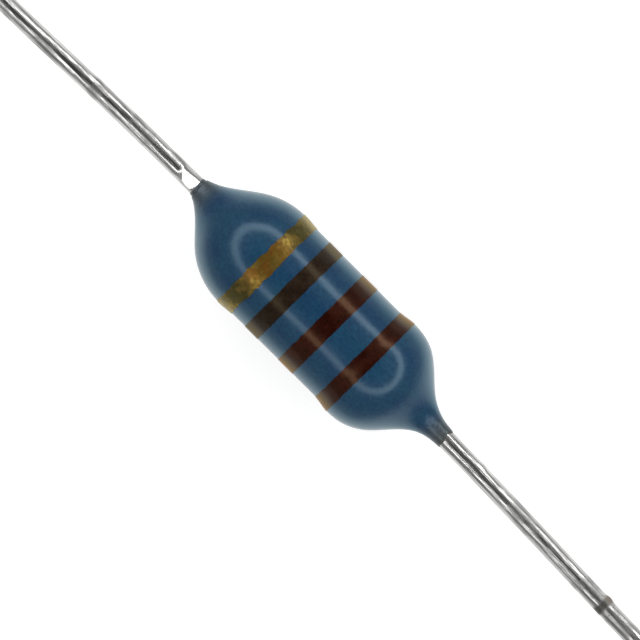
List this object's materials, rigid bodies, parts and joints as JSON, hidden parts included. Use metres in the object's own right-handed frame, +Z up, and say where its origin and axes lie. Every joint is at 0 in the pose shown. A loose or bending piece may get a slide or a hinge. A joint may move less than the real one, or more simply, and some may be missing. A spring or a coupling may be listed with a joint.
{
  "type": "axial inductor",
  "caption": "Axial lead inductor: a wound ferrite drum in a glossy blue epoxy coat with coloured code bands and tinned wire leads.",
  "frame": {"origin": "on the surface that the part lies on, under the middle of the ferrite drum and midway between the lead tips", "axes": "+X along the leads, from the gold band towards the red bands; +Z up; the necks lean slightly towards +Y"},
  "size_m": [0.064, 0.0042, 0.0042],
  "materials": {
    "ferrite": "matte",
    "enamelled_copper": "satin",
    "solder": "satin",
    "tinned_wire": "gloss",
    "blue_epoxy": "gloss",
    "gold_ink": "satin",
    "black_ink": "gloss",
    "red_ink": "gloss"
  },
  "bodies": {
    "root": {"ferrite_core": "ferrite", "copper_winding": "enamelled_copper", "solder_left": "solder", "solder_right": "solder", "lead_left": "tinned_wire", "lead_right": "tinned_wire", "epoxy_coat": "blue_epoxy", "gold_band": "gold_ink", "black_band": "black_ink", "red_band_1": "red_ink", "red_band_2": "red_ink"}
  },
  "joints": []
}
